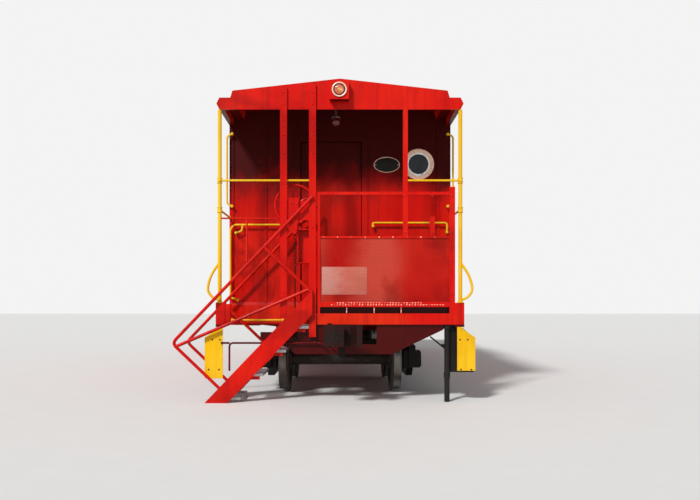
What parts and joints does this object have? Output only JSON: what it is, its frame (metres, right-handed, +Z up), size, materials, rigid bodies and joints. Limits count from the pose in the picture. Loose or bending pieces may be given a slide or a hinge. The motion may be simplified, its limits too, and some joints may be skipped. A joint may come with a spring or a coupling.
{
  "type": "bay window caboose",
  "caption": "Steel bay-window caboose with railed end platforms, side steps, an access stair at one end, hinged end doors and swivelling trucks on rail wheels.",
  "frame": {"origin": "on the rail tops, midway between the rails and at mid-length", "axes": "+Z up, +Y along the track away from the end with the stair, +X to the right seen from that end"},
  "size_m": [3.8373, 11.62, 4.405],
  "materials": {
    "red_paint": "weathered gloss",
    "yellow_paint": "gloss",
    "black_paint": "dusty",
    "wheel_steel": "rusty",
    "galvanised": "galvanised",
    "clear_glass": "clear",
    "bright_frame": "satin",
    "deck_paint": "worn",
    "seat_vinyl": "matt",
    "coupler_iron": "rusty"
  },
  "bodies": {
    "body": {"underframe": "red_paint", "floor_plates": "deck_paint", "end_sills": "red_paint", "side_wall_left": "red_paint", "side_wall_right": "red_paint", "bay_left": "red_paint", "bay_right": "red_paint", "end_wall_near": "red_paint", "end_wall_far": "red_paint", "roof": "red_paint", "roof_fascias": "red_paint", "window_frames": "bright_frame", "window_panes": "clear_glass", "end_railings": "red_paint", "mesh_panels": "red_paint", "corner_handrails": "yellow_paint", "grab_irons": "yellow_paint", "step_frames": "black_paint", "step_plates": "yellow_paint", "stair_stringers": "red_paint", "stair_treads": "galvanised", "stair_handrails": "red_paint", "support_pole": "black_paint", "brake_stands": "red_paint", "brake_wheels": "red_paint", "brake_chains": "coupler_iron", "couplers": "coupler_iron", "uncoupling_levers": "black_paint", "platform_lamps": "red_paint", "air_tanks": "black_paint", "smoke_stack": "black_paint", "bay_seats": "seat_vinyl", "end_lamps": "red_paint"},
    "truck_near": {"truck_frames_near": "black_paint", "truck_bolster_near": "black_paint"},
    "truck_far": {"truck_frames_far": "black_paint", "truck_bolster_far": "black_paint"},
    "wheelset_1": {"wheelset_1": "wheel_steel"},
    "wheelset_2": {"wheelset_2": "wheel_steel"},
    "wheelset_3": {"wheelset_3": "wheel_steel"},
    "wheelset_4": {"wheelset_4": "wheel_steel"},
    "door_near": {"door_near": "red_paint"},
    "door_far": {"door_far": "red_paint"}
  },
  "joints": [
    {"name": "truck_near_swivel", "type": "hinge", "parent": "body", "child": "truck_near", "pos_m": [0, -3.26, 0.675], "axis": [0, 0, 1], "range_deg": [-4, 4]},
    {"name": "truck_far_swivel", "type": "hinge", "parent": "body", "child": "truck_far", "pos_m": [0, 3.26, 0.675], "axis": [0, 0, 1], "range_deg": [-4, 4]},
    {"name": "wheelset_1_roll", "type": "hinge", "parent": "truck_near", "child": "wheelset_1", "pos_m": [0, -4.11, 0.419], "axis": [1, 0, 0], "continuous": true},
    {"name": "wheelset_2_roll", "type": "hinge", "parent": "truck_near", "child": "wheelset_2", "pos_m": [0, -2.41, 0.419], "axis": [1, 0, 0], "continuous": true},
    {"name": "wheelset_3_roll", "type": "hinge", "parent": "truck_far", "child": "wheelset_3", "pos_m": [0, 2.41, 0.419], "axis": [1, 0, 0], "continuous": true},
    {"name": "wheelset_4_roll", "type": "hinge", "parent": "truck_far", "child": "wheelset_4", "pos_m": [0, 4.11, 0.419], "axis": [1, 0, 0], "continuous": true},
    {"name": "door_near_swing", "type": "hinge", "parent": "body", "child": "door_near", "pos_m": [0.29, -4.376, 2.28], "axis": [0, 0, 1], "range_deg": [-100, 0]},
    {"name": "door_far_swing", "type": "hinge", "parent": "body", "child": "door_far", "pos_m": [-0.29, 4.376, 2.28], "axis": [0, 0, 1], "range_deg": [-100, 0]}
  ]
}
